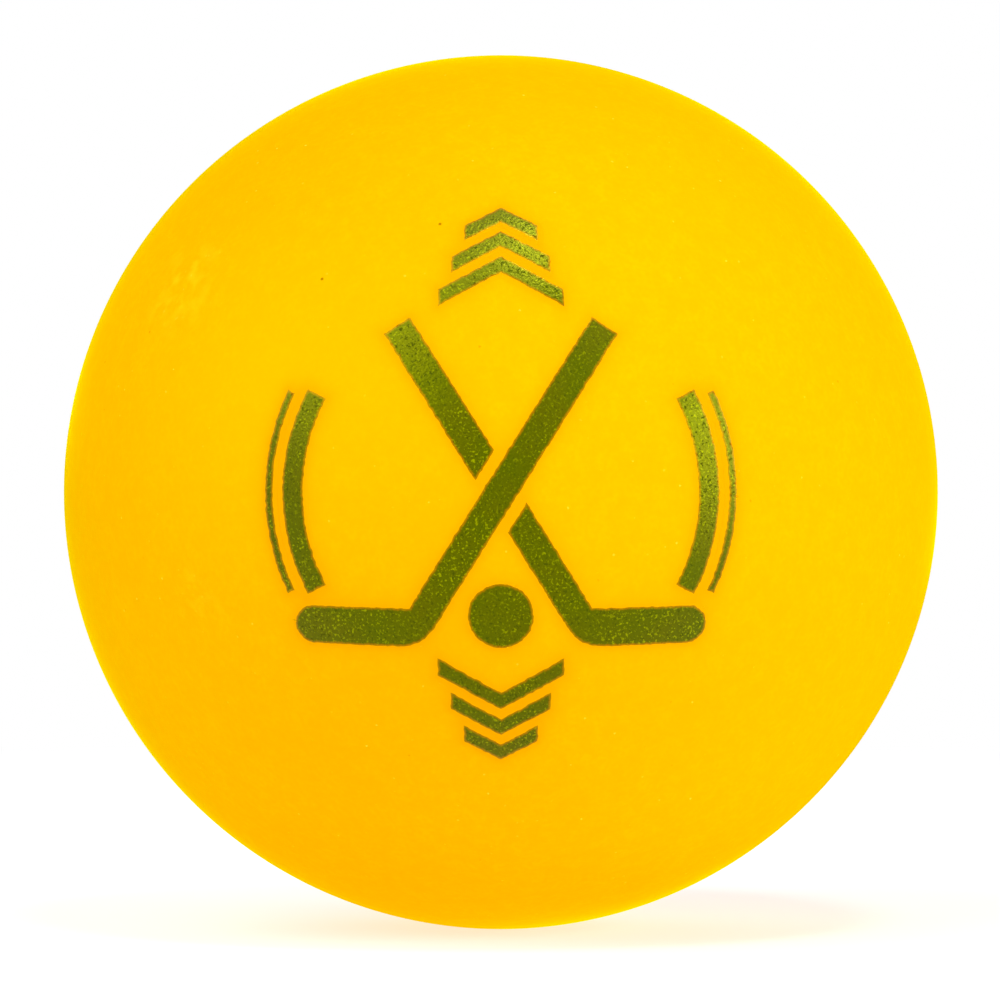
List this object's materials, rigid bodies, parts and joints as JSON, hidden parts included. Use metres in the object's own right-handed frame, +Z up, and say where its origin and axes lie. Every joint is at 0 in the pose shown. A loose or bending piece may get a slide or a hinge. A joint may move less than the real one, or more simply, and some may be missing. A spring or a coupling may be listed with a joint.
{
  "type": "street hockey ball",
  "caption": "Hollow soft vinyl street hockey ball of welded half shells, with a printed emblem on one face; made to roll and slide with little bounce.",
  "frame": {"origin": "centre of the ball", "axes": "+Z up; the printed face looks along -Y; the halves meet in the plane y = 0, and +Y is the axis that both are turned about"},
  "size_m": [0.065, 0.0652, 0.065],
  "materials": {
    "vinyl": "matte",
    "weld": "satin",
    "ink": "satin"
  },
  "bodies": {
    "root": {"front_half_shell": "vinyl", "rear_half_shell": "vinyl", "weld_bead": "weld", "ink_stick_over": "ink", "ink_stick_under_blade": "ink", "ink_stick_under_shaft": "ink", "ink_ball_mark": "ink", "ink_upper_chevron_1": "ink", "ink_lower_chevron_1": "ink", "ink_upper_chevron_2": "ink", "ink_lower_chevron_2": "ink", "ink_upper_chevron_3": "ink", "ink_lower_chevron_3": "ink", "ink_left_bar": "ink", "ink_left_line": "ink", "ink_right_bar": "ink", "ink_right_line": "ink"}
  },
  "joints": []
}
